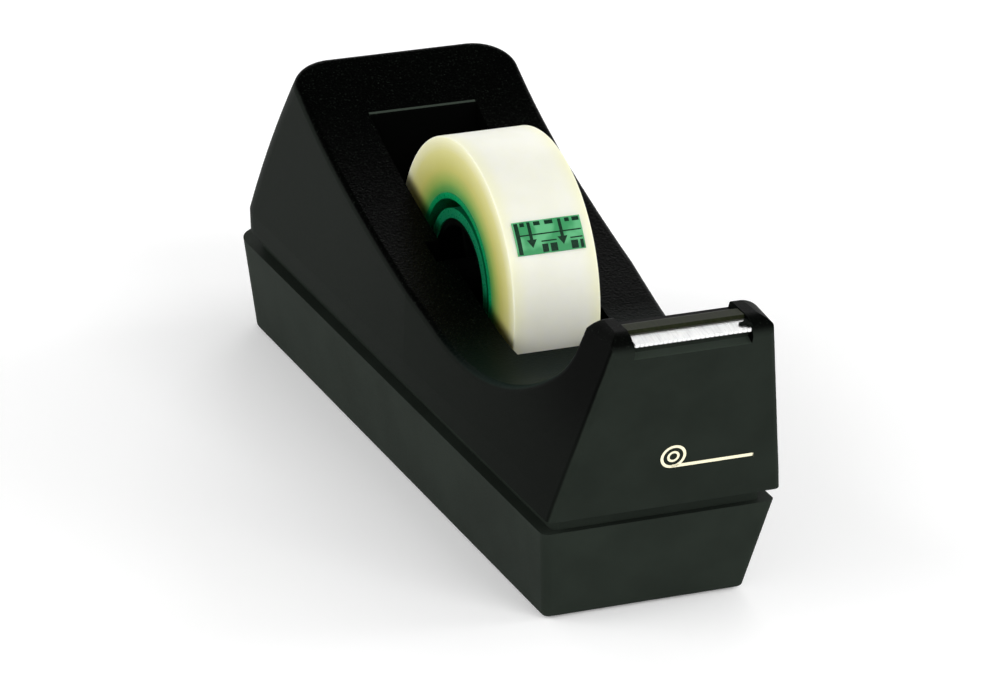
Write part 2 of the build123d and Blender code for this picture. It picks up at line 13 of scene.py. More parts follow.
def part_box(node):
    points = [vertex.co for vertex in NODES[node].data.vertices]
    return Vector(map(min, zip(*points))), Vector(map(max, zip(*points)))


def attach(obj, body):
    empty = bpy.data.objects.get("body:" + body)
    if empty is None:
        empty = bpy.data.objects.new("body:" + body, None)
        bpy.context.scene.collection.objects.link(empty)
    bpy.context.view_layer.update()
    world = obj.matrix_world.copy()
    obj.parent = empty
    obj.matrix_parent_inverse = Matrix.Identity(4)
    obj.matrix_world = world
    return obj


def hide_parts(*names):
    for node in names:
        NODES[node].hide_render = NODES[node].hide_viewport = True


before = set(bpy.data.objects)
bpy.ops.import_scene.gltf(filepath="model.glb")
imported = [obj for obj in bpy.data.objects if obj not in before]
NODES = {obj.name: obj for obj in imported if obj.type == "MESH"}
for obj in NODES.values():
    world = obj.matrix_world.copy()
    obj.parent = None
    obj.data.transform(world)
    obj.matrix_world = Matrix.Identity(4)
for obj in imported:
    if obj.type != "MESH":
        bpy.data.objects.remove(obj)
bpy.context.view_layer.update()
SCENE = bpy.context.scene

# ---------------------------------------------------------------- places taken from the frame

ROLL_LOW, ROLL_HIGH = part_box("tape_roll")
ROLL = (ROLL_LOW + ROLL_HIGH) / 2
ROLL_RADIUS = (ROLL_HIGH.z - ROLL_LOW.z) / 2
ROLL_HALF = ROLL_HIGH.x
CORE_LOW, CORE_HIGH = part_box("tape_core")
CORE_RADIUS = (CORE_HIGH.z - CORE_LOW.z) / 2
BLADE_LOW, BLADE_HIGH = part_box("cutter_blade")
SHELL_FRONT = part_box("upper_housing")[0].y

# ---------------------------------------------------------------- places the body's plastic knows

# Each pair is where a fade starts and where it ends: along Y, up Z, across from the middle in X,
# or the share of a face's normal that points up or sideways.
WELL_REAR = ROLL.y + 0.0417
# Rim pairs: where a painted highlight line runs along the well's rear edge.
RIM_HIGHLIGHT_HALF = (0.0119, 0.0121)
RIM_HIGHLIGHT_FRONT = (WELL_REAR - 0.0002, WELL_REAR)
RIM_HIGHLIGHT_BACK = (WELL_REAR + 0.0003, WELL_REAR + 0.0005)
WELL_HALF = (0.0152, 0.0155)
WELL_FRONT = (-0.0365, -0.036)
WELL_BACK = (0.046, 0.0465)
WELL_FLOOR_UP = (0.42, 0.6)
TOP_UP = (0.35, 0.7)
VALLEY_BACK = (-0.052, -0.016)
# Shelf pairs: where the ledge under the blade gets painted light.
SHELF_BACK = (-0.0852, -0.0850)
SHELF_TOP = (0.0615, 0.0617)
CROWN_FOOT = (0.0590, 0.0612)
CROWN_BACK = (-0.070, -0.066)
# Nose pairs: where the upper nose sides get painted shade.
NOSE_BACK = (-0.080, -0.050)
NOSE_FOOT = (0.036, 0.054)
NOSE_SIDEWAYS = (0.7, 0.93)
FLANK_SIDEWAYS = (0.72, 0.93)
# Flank span: along it the painted shade on the side faces lightens towards the back.
FLANK_SPAN = (-0.075, 0.03)

# ---------------------------------------------------------------- shades and grains

DARK = (0.78, 1.0, 0.80)
# Tint of the painted sheen in the valley.
VALLEY_SHEEN_TINT = (0.30, 1.0, 0.70)
# Near-black of the top, also painted into the well as shade.
TOP_BLACK_AND_WELL_SHADE = 0.0006
# Painted shade on the side faces, from the front to the back.
FLANK_SHADE_TONES = (0.0045, 0.0102)
BLACK_GLOSS = 0.012
INK_GLOSS = 0.1
FINE_GRAIN = 0.00022
FINE_DEPTH = 0.00003
PEBBLE = 0.00044
PEBBLE_DEPTH = 0.00011
SPECK = 0.00042
# Share of the grain noise that shows as painted glint specks on top.
GLINT_SPECKS_SHOW = (0.58, 0.74)
RUST_SHOWS = (0.5, 0.72)
# Noise keeps near its middle, so colours and roughness use only these parts of its range.
COLOUR_SPAN = (0.3, 0.7)
PATCH_SPAN = (0.35, 0.7)
ROUGH_SPAN = (0.2, 0.8)

# ---------------------------------------------------------------- node trees


class Finish:
    """One procedural material: a Principled shader and short helpers that add nodes to it."""

    def __init__(self, name):
        self.material = bpy.data.materials.new(name)
        self.material.use_nodes = True
        self.tree = self.material.node_tree
        self.tree.nodes.clear()
        self.out = self.add("ShaderNodeOutputMaterial")
        self.bsdf = self.add("ShaderNodeBsdfPrincipled")
        self.link(self.bsdf.outputs["BSDF"], self.out.inputs["Surface"])
        coordinates = self.add("ShaderNodeTexCoord")
        self.place = coordinates.outputs["Object"]
        self.normal = coordinates.outputs["Normal"]

    def add(self, kind, **values):
        node = self.tree.nodes.new(kind)
        for key, value in values.items():
            setattr(node, key, value)
        return node

    def link(self, source, target):
        self.tree.links.new(source, target)
        return target

    def feed(self, socket, value):
        """Give a socket a number, a colour or another node's output."""
        if isinstance(value, bpy.types.NodeSocket):
            self.link(value, socket)
        else:
            socket.default_value = value

    def set(self, **values):
        """Set the shader's own sockets; spaces in a name are written as underscores."""
        for key, value in values.items():
            self.feed(self.bsdf.inputs[key.replace("_", " ")], value)
        return self

    def math(self, operation, a, b=0.0):
        node = self.add("ShaderNodeMath", operation=operation)
        self.feed(node.inputs[0], a)
        self.feed(node.inputs[1], b)
        return node.outputs[0]

    def remap(self, value, low, high, to_low=0.0, to_high=1.0, smooth=True):
        node = self.add("ShaderNodeMapRange",
                        interpolation_type="SMOOTHSTEP" if smooth else "LINEAR")
        self.feed(node.inputs["Value"], value)
        self.feed(node.inputs["From Min"], low)
        self.feed(node.inputs["From Max"], high)
        self.feed(node.inputs["To Min"], to_low)
        self.feed(node.inputs["To Max"], to_high)
        return node.outputs["Result"]

    def falls(self, value, low, high):
        """Mask that is 1 up to low and 0 from high."""
        return self.remap(value, low, high, 1.0, 0.0)

    def all_of(self, first, *others):
        """Product of masks: 1 only where every one is 1."""
        for mask in others:
            first = self.math("MULTIPLY", first, mask)
        return first

    def scaled(self, stretch):
        node = self.add("ShaderNodeMapping")
        self.link(self.place, node.inputs["Vector"])
        node.inputs["Scale"].default_value = stretch
        return node.outputs["Vector"]

    def grain(self, size, detail=2.0, rough=0.5, vector=None):
        """Noise from 0 to 1 whose features are about size metres across."""
        node = self.add("ShaderNodeTexNoise")
        self.link(vector or self.place, node.inputs["Vector"])
        node.inputs["Scale"].default_value = 1 / size
        node.inputs["Detail"].default_value = detail
        node.inputs["Roughness"].default_value = rough
        return node.outputs["Fac"]

    def cells(self, size):
        """Distance to the middle of rounded, irregular cells about size metres across."""
        node = self.add("ShaderNodeTexVoronoi", feature="SMOOTH_F1")
        self.link(self.place, node.inputs["Vector"])
        node.inputs["Scale"].default_value = 1 / size
        return node.outputs["Distance"]

    def split(self, vector):
        node = self.add("ShaderNodeSeparateXYZ")
        self.link(vector, node.inputs[0])
        return node.outputs["X"], node.outputs["Y"], node.outputs["Z"]

    def mix(self, share, a, b):
        node = self.add("ShaderNodeMix", data_type="RGBA")
        self.feed(node.inputs["Factor"], share)
        self.feed(node.inputs["A"], a)
        self.feed(node.inputs["B"], b)
        return next(o for o in node.outputs if o.type == "RGBA")

    def mottle(self, value, a, b, span=COLOUR_SPAN):
        """Two colours mixed by a noise."""
        return self.mix(self.remap(value, *span), a, b)

    def spread(self, value, low, high):
        """Number from low to high that follows a noise."""
        return self.remap(value, *ROUGH_SPAN, low, high)

    def stops(self, value, pairs):
        """Colour ramp: pairs of (place, colour)."""
        node = self.add("ShaderNodeValToRGB")
        self.link(value, node.inputs["Fac"])
        ramp = node.color_ramp
        while len(ramp.elements) < len(pairs):
            ramp.elements.new(0.5)
        for element, (place, colour) in zip(ramp.elements, pairs):
            element.position = place
            element.color = colour
        return node.outputs["Color"]

    def bump(self, height, depth, strength, onto=None):
        """Bump of the given depth in metres, laid over another bump if there is one."""
        node = self.add("ShaderNodeBump")
        self.link(height, node.inputs["Height"])
        node.inputs["Distance"].default_value = depth
        self.feed(node.inputs["Strength"], strength)
        if onto is not None:
            self.link(onto, node.inputs["Normal"])
        return node.outputs["Normal"]

    def radius(self):
        """Distance from the roll's axis."""
        _, y, z = self.split(self.place)
        y = self.math("SUBTRACT", y, ROLL.y)
        z = self.math("SUBTRACT", z, ROLL.z)
        return self.math("SQRT", self.math("ADD", self.math("MULTIPLY", y, y),
                                           self.math("MULTIPLY", z, z)))

    def ring_place(self):
        """Coordinates that change only with the distance from the roll's axis."""
        node = self.add("ShaderNodeCombineXYZ")
        self.link(self.radius(), node.inputs["X"])
        return node.outputs[0]


def grey(value, tint=(1.0, 1.0, 1.0)):
    return (value * tint[0], value * tint[1], value * tint[2], 1.0)


# ---------------------------------------------------------------- materials


def housing_plastic():
    """Black moulded plastic: satin sides, coarse sparkling grain on top, and painted light and
    shade: glint specks, a valley sheen, a rim highlight, a lit shelf, darker flanks and nose
    sides, and a well painted dead black.
    """
    f = Finish("upper_housing")
    x, y, z = f.split(f.place)
    side_on, _, up = f.split(f.normal)
    across = f.math("ABSOLUTE", x)
    sideways = f.math("ABSOLUTE", side_on)

    # Masks for the places: the shelf is the ledge under the blade, painted lighter as if lit, the
    # crown the shoulders by it.
    level = f.remap(up, *TOP_UP)
    at_shelf = f.all_of(f.falls(y, *SHELF_BACK), f.falls(z, *SHELF_TOP))
    top = f.all_of(level, f.math("SUBTRACT", 1.0, at_shelf))
    shelf = f.all_of(level, at_shelf)
    valley = f.falls(y, *VALLEY_BACK)
    coarse = f.all_of(top, f.remap(valley, 0.0, 1.0, 1.0, 0.3))
    well = f.all_of(f.falls(across, *WELL_HALF), f.falls(up, *WELL_FLOOR_UP),
                    f.remap(y, *WELL_FRONT), f.falls(y, *WELL_BACK))
    rim = f.all_of(f.falls(across, *RIM_HIGHLIGHT_HALF), f.remap(y, *RIM_HIGHLIGHT_FRONT), f.falls(y, *RIM_HIGHLIGHT_BACK))
    crown = f.all_of(f.remap(z, *CROWN_FOOT), f.falls(y, *CROWN_BACK))
    nose_side_shade = f.all_of(f.remap(sideways, *NOSE_SIDEWAYS), f.falls(y, *NOSE_BACK),
                         f.remap(z, *NOSE_FOOT))
    flank = f.remap(sideways, *FLANK_SIDEWAYS)

    fine = f.grain(FINE_GRAIN, 3.0, 0.6)
    # Painted glints: light specks in the top's colour stand in for glints off the grain.
    glint_specks = f.remap(f.grain(SPECK, 2.0, 0.75), *GLINT_SPECKS_SHOW)

    side = f.mottle(f.grain(0.012, 3.0, 0.55), grey(0.0158, DARK), grey(0.0192, DARK))
    # Painted shade: faces that look sideways are coloured darker than the front, and darker still
    # towards the front.
    tone = f.remap(y, *FLANK_SPAN, *FLANK_SHADE_TONES, smooth=False)
    flank_shade_colour = f.add("ShaderNodeCombineColor")
    for share, socket in zip(DARK, flank_shade_colour.inputs):
        f.link(f.math("MULTIPLY", tone, share), socket)
    side = f.mix(flank, side, flank_shade_colour.outputs[0])
    # Painted shade: the upper sides of the nose are coloured almost black.
    side = f.mix(f.math("MULTIPLY", nose_side_shade, 0.9), side, grey(0.0010, DARK))

    above = f.mix(glint_specks, grey(TOP_BLACK_AND_WELL_SHADE, DARK), grey(0.014, DARK))
    # Painted sheen: the valley in front of the roll is coloured lighter than the rest of the top;
    # the crown mix on the next line keeps the nose shoulders out of it.
    above = f.mix(valley, above, grey(0.0080, VALLEY_SHEEN_TINT))
    above = f.mix(crown, above, f.mix(glint_specks, grey(0.0015, DARK), grey(0.014, DARK)))

    colour = f.mix(top, side, above)
    # Painted highlight: a thin light line along the well's rear rim.
    colour = f.mix(rim, colour, grey(0.045, DARK))
    # Painted light: the shelf under the blade is coloured lighter, as if lit from above.
    colour = f.mix(shelf, colour, grey(0.040, DARK))
    # Painted shade: the well's walls and floor are coloured dead black where shade falls inside
    # it.
    colour = f.mix(well, colour, grey(TOP_BLACK_AND_WELL_SHADE, DARK))

    rough = f.remap(well, 0.0, 1.0, f.remap(coarse, 0.0, 1.0, 0.5, 0.26), 0.85)
    f.set(Base_Color=colour,
          Roughness=f.math("ADD", rough, f.spread(fine, -0.05, 0.07)),
          Normal=f.bump(f.cells(PEBBLE), PEBBLE_DEPTH, f.math("MULTIPLY", coarse, 0.6),
                        f.bump(fine, FINE_DEPTH, 0.55)),
          Specular_IOR_Level=BLACK_GLOSS)
    return f.material


def black_plastic(name, tones, rough, strength=0.5, fine_size=FINE_GRAIN, mottling=None):
    """Satin black plastic; mottling is the size and roughness of a mottle wider than the grain."""
    f = Finish(name)
    fine = f.grain(fine_size, 3.0, 0.6)
    patches = f.grain(mottling[0], 3.0, mottling[1]) if mottling else fine
    f.set(Base_Color=f.mottle(patches, grey(tones[0], DARK), grey(tones[1], DARK)),
          Roughness=f.spread(fine, *rough),
          Normal=f.bump(fine, FINE_DEPTH, strength),
          Specular_IOR_Level=BLACK_GLOSS)
    return f.material


def tub_plastic():
    return black_plastic("base_tub", (0.0185, 0.0225), (0.47, 0.6), strength=0.6,
                         mottling=(0.015, 0.55))


def catch_plastic():
    return black_plastic("blade_catch", (0.0035, 0.0060), (0.45, 0.6))


def hub_plastic(name):
    return black_plastic(name, (0.0012, 0.0024), (0.4, 0.56), fine_size=0.00025,
                         mottling=(0.006, 0.6))


def rest_plastic():
    """Smooth bar that the tape's free end sticks to, with faint lines of old adhesive."""
    f = Finish("tape_rest")
    streaks = f.grain(0.0006, 3.0, 0.6, f.scaled((1.0, 0.12, 0.12)))
    f.set(Base_Color=f.mottle(streaks, (0.010, 0.012, 0.005, 1), (0.018, 0.021, 0.010, 1),
                              PATCH_SPAN),
          Roughness=f.spread(streaks, 0.36, 0.46),
          Normal=f.bump(streaks, 0.00001, 0.2),
          Specular_IOR_Level=0.02)
    return f.material


def blade_steel():
    """Bright strip steel with fine grinding lines that run down to the teeth."""
    f = Finish("cutter_blade")
    lines = f.grain(0.00024, 3.0, 0.65, f.scaled((1.0, 0.04, 0.04)))
    spots = f.grain(0.004, 3.0, 0.6)
    tone = f.mottle(spots, (0.93, 0.93, 0.92, 1), (0.84, 0.85, 0.85, 1), PATCH_SPAN)
    f.set(Base_Color=f.mix(f.remap(lines, 0.45, 0.75, 0.0, 0.4), tone, grey(0.50)),
          Metallic=1.0,
          Roughness=f.spread(lines, 0.26, 0.42),
          Normal=f.bump(lines, 0.00004, 0.5))
    return f.material


def winding_film():
    """Matt see-through tape, wound: ivory outside with a painted yellow shade near its sides, and
    edges that show the green core.
    """
    f = Finish("tape_roll")
    x, _, _ = f.split(f.place)
    across = f.math("ABSOLUTE", x)
    outward = f.remap(f.radius(), CORE_RADIUS, ROLL_RADIUS, smooth=False)
    rings = f.grain(0.00013, 2.0, 0.6, f.ring_place())
    soft = f.grain(0.006, 2.0, 0.5)
    edge = f.stops(outward, [
        (0.0, (0.01, 0.20, 0.045, 1)), (0.08, (0.06, 0.25, 0.05, 1)),
        (0.22, (0.24, 0.34, 0.07, 1)), (0.42, (0.46, 0.44, 0.12, 1)),
        (0.72, (0.60, 0.57, 0.23, 1)), (1.0, (0.79, 0.78, 0.58, 1))])
    edge = f.mix(f.remap(rings, 0.3, 0.75, 0.0, 0.22), edge, (0.42, 0.40, 0.11, 1))
    face = f.mottle(soft, (0.78, 0.78, 0.695, 1), (0.765, 0.765, 0.665, 1))
    # Painted shade: the face turns yellower towards both sides, standing in for light passing
    # through the roll's edges.
    edge_yellow_shade = f.remap(across, ROLL_HALF * 0.6, ROLL_HALF, 0.0, 0.6)
    face = f.mix(edge_yellow_shade, face, (0.74, 0.735, 0.50, 1))
    rim = f.remap(across, ROLL_HALF - 0.0006, ROLL_HALF - 0.0001)
    outside = f.remap(f.radius(), ROLL_RADIUS - 0.0005, ROLL_RADIUS - 0.0001)
    on_side = f.all_of(rim, f.math("SUBTRACT", 1.0, outside))
    f.set(Base_Color=f.mix(on_side, face, edge),
          Roughness=f.spread(soft, 0.36, 0.46),
          Normal=f.bump(rings, 0.00003, f.math("MULTIPLY", on_side, 0.5)),
          Subsurface_Weight=0.45,
          Subsurface_Radius=(1.0, 0.95, 0.55),
          Subsurface_Scale=0.003,
          Specular_IOR_Level=0.4)
    return f.material


def core_plastic():
    """Moulded green core, slightly see-through, with painted shade: the recessed channel between
    its two rings is coloured dark.
    """
    f = Finish("tape_core")
    soft = f.grain(0.005, 3.0, 0.6)
    fine = f.grain(0.0004, 2.0, 0.5)
    outward = f.remap(f.radius(), 0.0128, CORE_RADIUS, smooth=False)
    # Painted shade: the dark stops from 0.41 to 0.74 colour the recessed channel between the
    # rings.
    body = f.stops(outward, [
        (0.0, (0.003, 0.13, 0.055, 1)), (0.36, (0.003, 0.16, 0.065, 1)),
        (0.41, (0.0, 0.04, 0.014, 1)), (0.74, (0.0, 0.05, 0.018, 1)),
        (0.80, (0.0, 0.20, 0.065, 1)), (1.0, (0.0, 0.25, 0.08, 1))])
    f.set(Base_Color=f.mix(f.remap(soft, *COLOUR_SPAN, 0.0, 0.35), body, (0.004, 0.07, 0.028, 1)),
          Roughness=f.spread(fine, 0.24, 0.4),
          Normal=f.bump(fine, 0.00002, 0.4),
          Subsurface_Weight=0.35,
          Subsurface_Radius=(0.25, 1.0, 0.5),
          Subsurface_Scale=0.002,
          Specular_IOR_Level=0.12)
    return f.material


def turned_steel(name, tone, rough):
    """Steel with fine lathe lines round the X axis and light smudges."""
    f = Finish(name)
    lines = f.grain(0.0001, 2.0, 0.6, f.scaled((1.0, 0.02, 0.02)))
    spots = f.grain(0.003, 3.0, 0.6)
    f.set(Base_Color=f.mottle(spots, grey(tone), grey(tone * 0.82), PATCH_SPAN),
          Metallic=1.0,
          Roughness=f.spread(spots, rough, rough + 0.14),
          Normal=f.bump(lines, 0.00001, 0.4))
    return f.material


def foam_rubber():
    """Black closed-cell foam with an open skin."""
    f = Finish("foot_pad")
    cells = f.cells(0.0007)
    f.set(Base_Color=f.mix(f.remap(cells, 0.1, 0.7), grey(0.008), grey(0.022)),
          Roughness=f.remap(cells, 0.1, 0.7, 0.94, 0.78),
          Normal=f.bump(cells, 0.0003, 0.7))
    return f.material


def cast_metal():
    """Rough cast block with sand pits and a thin bloom of rust."""
    f = Finish("ballast_weight")
    sand = f.grain(0.0009, 4.0, 0.65)
    patches = f.grain(0.014, 4.0, 0.6)
    f.set(Base_Color=f.mix(f.remap(patches, *RUST_SHOWS, 0.0, 0.5), grey(0.055),
                           (0.11, 0.045, 0.02, 1)),
          Metallic=f.remap(patches, *RUST_SHOWS, 0.85, 0.3),
          Roughness=f.spread(sand, 0.6, 0.8),
          Normal=f.bump(sand, 0.0003, 0.6))
    return f.material


def tab_film():
    """Green see-through film in lighter and darker patches."""
    f = Finish("starter_tab")
    fine = f.grain(0.0005, 3.0, 0.6)
    patches = f.grain(0.0034, 1.0, 0.4)
    f.set(Base_Color=f.mottle(patches, (0.040, 0.27, 0.10, 1), (0.11, 0.42, 0.19, 1),
                              (0.38, 0.62)),
          Roughness=f.spread(fine, 0.32, 0.42),
          Normal=f.bump(fine, 0.00001, 0.3),
          Specular_IOR_Level=0.12)
    return f.material


def ink_film(name, low, high):
    """Printing ink with a slight mottle."""
    f = Finish(name)
    mottle = f.grain(0.0004, 3.0, 0.6)
    f.set(Base_Color=f.mottle(mottle, low, high),
          Roughness=f.spread(mottle, 0.4, 0.52),
          Normal=f.bump(mottle, 0.00001, 0.3),
          Specular_IOR_Level=INK_GLOSS)
    return f.material


def paper_floor():
    """Matt white paper, with enough glow of its own to stay white in soft light."""
    f = Finish("floor_paper")
    fibre = f.grain(0.002, 3.0, 0.6)
    f.set(Base_Color=f.mottle(fibre, grey(0.93), grey(0.95)),
          Roughness=0.9,
          Specular_IOR_Level=0.1,
          Emission_Color=(1, 1, 1, 1),
          Emission_Strength=0.16)
    return f.material


# ---------------------------------------------------------------- mesh pieces


def piece(name, mesh, material, body, smooth=True):
    """Link a bmesh as a piece that rides on a body and takes a material."""
    data = bpy.data.meshes.new(name)
    bmesh.ops.recalc_face_normals(mesh, faces=mesh.faces)
    mesh.to_mesh(data)
    mesh.free()
    data.materials.append(material)
    made = bpy.data.objects.new(name, data)
    SCENE.collection.objects.link(made)
    if smooth:
        data.shade_smooth()
        data.set_sharp_from_angle(angle=math.radians(32))
    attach(made, body)
    return made


def lathe(profile, steps):
    """Closed ring turned round the roll's axis from (x, radius) points."""
    mesh = bmesh.new()
    rows = []
    for step in range(steps):
        angle = 2 * math.pi * step / steps
        along, up = math.cos(angle), math.sin(angle)
        rows.append([mesh.verts.new((x, ROLL.y + r * along, ROLL.z + r * up))
                     for x, r in profile])
    for step in range(steps):
        here, there = rows[step], rows[(step + 1) % steps]
        for k in range(len(profile)):
            after = (k + 1) % len(profile)
            mesh.faces.new((here[k], there[k], there[after], here[after]))
    return mesh


def winding():
    """The wound tape: slightly uneven sides, and soft corners at its outer turn."""
    inner = CORE_RADIUS + 0.00002
    corner = 0.00025
    side = ROLL_HALF - 0.00004
    unevenness = 0.00003
    side_steps, corner_steps, turn_steps = 46, 4, 240
    half = []
    for step in range(side_steps + 1):
        r = inner + (ROLL_RADIUS - corner - inner) * step / side_steps
        broad = noise.noise(Vector((r * 900, 3.1, 0.0)))
        narrow = noise.noise(Vector((r * 2600, 7.7, 0.0)))
        half.append((side - unevenness * abs(broad + 0.6 * narrow), r))
    for step in range(1, corner_steps + 1):
        angle = math.radians(90 * step / corner_steps)
        half.append((side - corner * (1 - math.cos(angle)),
                     ROLL_RADIUS - corner * (1 - math.sin(angle))))
    profile = [(-x, r) for x, r in half] + [(x, r) for x, r in reversed(half)]
    made = piece("tape_winding", lathe(profile, turn_steps), winding_film(), "reel")
    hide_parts("tape_roll")


def on_roll(x, along, lift):
    """Point on the roll's outer turn: along is the arc length from straight forward, upwards."""
    reach = ROLL_RADIUS + lift
    angle = math.pi - along / ROLL_RADIUS
    return (x, ROLL.y + reach * math.cos(angle), ROLL.z + reach * math.sin(angle))


def wrapped(mesh, outline):
    """Thin printed shape that lies on the starter tab; outline is (x, along) points, convex."""
    low = [mesh.verts.new(on_roll(x, s, PRINT_LIFT)) for x, s in outline]
    high = [mesh.verts.new(on_roll(x, s, PRINT_LIFT + PRINT_SHEET)) for x, s in outline]
    mesh.faces.new(high)
    mesh.faces.new(list(reversed(low)))
    for k in range(len(outline)):
        after = (k + 1) % len(outline)
        mesh.faces.new((low[k], low[after], high[after], high[k]))


PRINT_LIFT = 0.00022
PRINT_SHEET = 0.00002
PRINT_STEP = 0.0005


def tab_print():
    """Dark print on the starter tab: two pull arrows among bars, blocks and dashes."""
    tab_low, tab_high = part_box("starter_tab")
    reach = (Vector((0, tab_low.y, tab_low.z)) - Vector((0, ROLL.y, ROLL.z))).length
    start = ROLL_RADIUS * math.asin((tab_low.z - ROLL.z) / reach)
    end = ROLL_RADIUS * math.asin((tab_high.z - ROLL.z) / reach)
    height = end - start
    margin = 0.0003
    bottom, top = start + margin, end - margin
    left, right = tab_low.x, tab_high.x - margin
    mesh = bmesh.new()

    def bar(x0, x1, s0, s1):
        """Block from x0 to x1, in short steps along the roll so that it follows the curve."""
        x1 = min(x1, right)
        steps = max(1, math.ceil((s1 - s0) / PRINT_STEP))
        for k in range(steps):
            a = s0 + (s1 - s0) * k / steps
            b = s0 + (s1 - s0) * (k + 1) / steps
            wrapped(mesh, [(x0, a), (x1, a), (x1, b), (x0, b)])

    stem_half, head_half = 0.00035, 0.0011
    head_foot = start + height * 0.44
    for x in (left + 0.0035, left + 0.0102):
        bar(x - stem_half, x + stem_half, start + height * 0.42, top)
        wrapped(mesh, [(x - head_half, head_foot), (x, start + height * 0.2),
                       (x + head_half, head_foot)])
    for x0, x1 in ((0.0055, 0.0068), (0.0073, 0.0088), (0.0118, 0.0133), (0.0138, 0.0150)):
        bar(left + x0, left + x1, bottom, start + height * 0.28)
    for x0, x1 in ((0.0055, 0.0088), (0.0118, 0.0150)):
        bar(left + x0, left + x1, start + height * 0.34, start + height * 0.38)
    for x0, x1 in ((0.0016, 0.0026), (0.0046, 0.0060), (0.0070, 0.0088), (0.0114, 0.0124),
                   (0.0130, 0.0150)):
        bar(left + x0, left + x1, end - height * 0.16, top)
    bar(left + margin, right, start + height * 0.56, start + height * 0.6)
    bar(left + margin, left + 0.0012, bottom, top)
    ink = ink_film("tab_ink", (0.001, 0.016, 0.007, 1), (0.003, 0.034, 0.014, 1))
    piece("starter_tab_print", mesh, ink, "reel", smooth=False)


# Front face: a plane that leans forward from the skirt up to the cutter.
FACE_TOP = Vector((0, SHELL_FRONT, 0.0620))
FACE_FOOT = Vector((0, SHELL_FRONT + 0.0091, 0.0245))
FACE_UP = (FACE_TOP - FACE_FOOT).normalized()
FACE_OUT = Vector((1, 0, 0)).cross(FACE_UP).normalized()


def on_face(x, up, out):
    point = FACE_FOOT + FACE_UP * up + FACE_OUT * out
    return (x, point.y, point.z)


def flat_shape(mesh, outer, inner=None):
    """Raised print on the front face, from points (x, up); with inner it is a closed band."""
    sheet = 0.00003
    lift = 0.00001
    low = [mesh.verts.new(on_face(x, u, lift)) for x, u in outer]
    high = [mesh.verts.new(on_face(x, u, lift + sheet)) for x, u in outer]
    count = len(outer)
    if inner is None:
        mesh.faces.new(high)
        mesh.faces.new(list(reversed(low)))
        for k in range(count):
            mesh.faces.new((low[k], low[(k + 1) % count], high[(k + 1) % count], high[k]))
        return
    low_in = [mesh.verts.new(on_face(x, u, lift)) for x, u in inner]
    high_in = [mesh.verts.new(on_face(x, u, lift + sheet)) for x, u in inner]
    for k in range(count):
        after = (k + 1) % count
        mesh.faces.new((high[k], high[after], high_in[after], high_in[k]))
        mesh.faces.new((low[after], low[k], low_in[k], low_in[after]))
        mesh.faces.new((low[k], low[after], high[after], high[k]))
        mesh.faces.new((low_in[after], low_in[k], high_in[k], high_in[after]))


def circle(x, up, radius, steps=48):
    return [(x + radius * math.cos(2 * math.pi * k / steps),
             up + radius * math.sin(2 * math.pi * k / steps)) for k in range(steps)]


def blade_catch():
    """Small moulded nib on the right shoulder that laps over the end of the blade."""
    mesh = bmesh.new()
    root = BLADE_HIGH.x + 0.0004
    middle = (BLADE_LOW.y + BLADE_HIGH.y) / 2 - 0.0002
    under = BLADE_HIGH.z - 0.0003
    outline = [(root, -0.0010), (root - 0.0008, -0.0010), (root - 0.0013, -0.0004),
               (root - 0.0021, -0.00045), (root - 0.0025, -0.0001), (root - 0.0024, 0.0003),
               (root - 0.0014, 0.0004), (root - 0.0008, 0.0011), (root, 0.0012)]
    drop = 0.24
    layers = ((0.0, 1.0), (0.00025, 1.0), (0.00038, 0.86))
    rows = []
    for lift, shrink in layers:
        rows.append([mesh.verts.new((root + (x - root) * shrink, middle + y * shrink,
                                     under + lift + y * drop)) for x, y in outline])
    for low, high in zip(rows, rows[1:]):
        for k in range(len(outline)):
            after = (k + 1) % len(outline)
            mesh.faces.new((low[k], low[after], high[after], high[k]))
    mesh.faces.new(rows[-1])
    mesh.faces.new(list(reversed(rows[0])))
    piece("blade_catch", mesh, catch_plastic(), "housing", smooth=False)


def front_mark():
    """Plain pictogram of a roll with its tape pulled out to a toothed end, in cream ink."""
    mesh = bmesh.new()
    middle = 0.0121
    left = -0.0030
    radius = 0.0027
    centre = left + radius
    for outer, inner in ((radius, 0.0021), (0.0013, 0.0008)):
        flat_shape(mesh, circle(centre, middle, outer), circle(centre, middle, inner))
    end = 0.0168
    low = middle - radius
    foot = low - 0.00002
    thick = 0.0007
    teeth, tooth = 4, 0.0004
    step = thick / teeth
    flat_shape(mesh, [(centre, foot), (end, foot), (end, low + thick), (centre, low + thick)])
    for k in range(teeth):
        base = foot + k * step
        flat_shape(mesh, [(end, base), (end + tooth, base + step / 2), (end, base + step)])
    ink = ink_film("mark_ink", (0.80, 0.74, 0.52, 1), (0.86, 0.81, 0.60, 1))
    piece("front_mark", mesh, ink, "housing", smooth=False)


# ---------------------------------------------------------------- carried-over CAD nodes


def dress(node, material):
    """Give a CAD node's own object a material."""
    made = NODES[node]
    made.data.materials.clear()
    made.data.materials.append(material)


dress("upper_housing", housing_plastic())
dress("base_tub", tub_plastic())
dress("tape_rest", rest_plastic())
dress("cutter_blade", blade_steel())
dress("tape_core", core_plastic())
dress("hub_left", hub_plastic("hub_left"))
dress("hub_right", hub_plastic("hub_right"))
dress("axle_pin", turned_steel("axle_pin", 0.10, 0.3))
dress("foot_pad", foam_rubber())
dress("ballast_weight", cast_metal())
dress("starter_tab", tab_film())
for screw_node in ("ballast_screws", "housing_screws", "tape_rest_screws"):
    dress(screw_node, turned_steel(screw_node, 0.5, 0.34))

winding()
tab_print()
blade_catch()
front_mark()

# ---------------------------------------------------------------- stage, light and camera


FLOOR_GAP = 0.0001


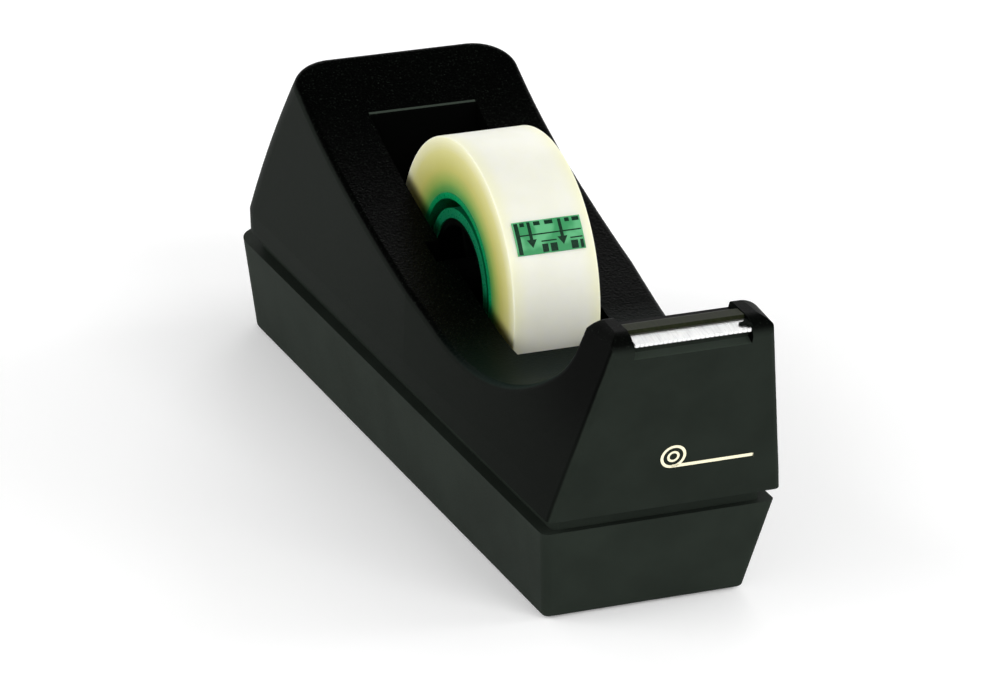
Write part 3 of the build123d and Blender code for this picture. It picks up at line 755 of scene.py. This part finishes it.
def floor():
    """Wide sheet just under the foot pad, so that the two never share a plane."""
    mesh = bmesh.new()
    bmesh.ops.create_grid(mesh, x_segments=1, y_segments=1, size=6.0)
    data = bpy.data.meshes.new("floor")
    mesh.to_mesh(data)
    mesh.free()
    data.materials.append(paper_floor())
    made = bpy.data.objects.new("floor", data)
    SCENE.collection.objects.link(made)
    made.location.z = -FLOOR_GAP


def lamp(name, place, width, height, power):
    """White rectangular lamp that points at the middle of the object."""
    data = bpy.data.lights.new(name, "AREA")
    data.shape = "RECTANGLE"
    data.size = width
    data.size_y = height
    data.energy = power
    made = bpy.data.objects.new(name, data)
    SCENE.collection.objects.link(made)
    made.location = place
    made.rotation_euler = (MIDDLE - Vector(place)).to_track_quat("-Z", "Y").to_euler()


MIDDLE = Vector((0, 0, 0.035))
floor()
lamp("key_back", (0.56, 0.90, 0.86), 0.5, 0.4, 1.8)
lamp("soft_left", (-1.2, 0.1, 0.9), 0.9, 0.7, 6)
lamp("soft_front", (0.4, -1.5, 1.2), 0.9, 0.6, 11)
lamp("soft_right", (1.5, -0.3, 0.8), 0.9, 0.7, 8)

# A bright low band that fades to a dim sky overhead.
world = bpy.data.worlds.new("soft_room")
world.use_nodes = True
sky = world.node_tree.nodes["Background"]
sky_place = world.node_tree.nodes.new("ShaderNodeTexCoord")
sky_split = world.node_tree.nodes.new("ShaderNodeSeparateXYZ")
sky_fade = world.node_tree.nodes.new("ShaderNodeMapRange")
sky_fade.interpolation_type = "SMOOTHSTEP"
sky_fade.inputs["From Min"].default_value = 0.32
sky_fade.inputs["From Max"].default_value = 0.72
sky_fade.inputs["To Min"].default_value = 1.8
sky_fade.inputs["To Max"].default_value = 0.12
world.node_tree.links.new(sky_place.outputs["Generated"], sky_split.inputs[0])
world.node_tree.links.new(sky_split.outputs["Z"], sky_fade.inputs["Value"])
world.node_tree.links.new(sky_fade.outputs["Result"], sky.inputs["Strength"])
sky.inputs["Color"].default_value = (1, 1, 1, 1)
SCENE.world = world
SCENE.view_settings.view_transform = "Standard"
SCENE.view_settings.look = "None"

CAMERA_TARGET = Vector((-0.008378, -0.0175, 0.034381))
CAMERA_DISTANCE = 1.1841
CAMERA_AZIMUTH = math.radians(-24.224)
CAMERA_ELEVATION = math.radians(23.121)
CAMERA_ROLL = math.radians(1.987)
CAMERA_LENS = 211.87

outward = math.cos(CAMERA_ELEVATION)
back = Vector((math.sin(CAMERA_AZIMUTH) * outward, -math.cos(CAMERA_AZIMUTH) * outward,
               math.sin(CAMERA_ELEVATION)))
level = Vector((math.cos(CAMERA_AZIMUTH), math.sin(CAMERA_AZIMUTH), 0))
upright = back.cross(level)
right = level * math.cos(CAMERA_ROLL) + upright * math.sin(CAMERA_ROLL)
above = upright * math.cos(CAMERA_ROLL) - level * math.sin(CAMERA_ROLL)

camera_data = bpy.data.cameras.new("camera")
camera_data.sensor_width = 36
camera_data.lens = CAMERA_LENS
camera_data.clip_end = 20
camera = bpy.data.objects.new("camera", camera_data)
SCENE.collection.objects.link(camera)
facing = Matrix((right, above, back)).transposed().to_4x4()
camera.matrix_world = Matrix.Translation(CAMERA_TARGET + back * CAMERA_DISTANCE) @ facing
SCENE.camera = camera
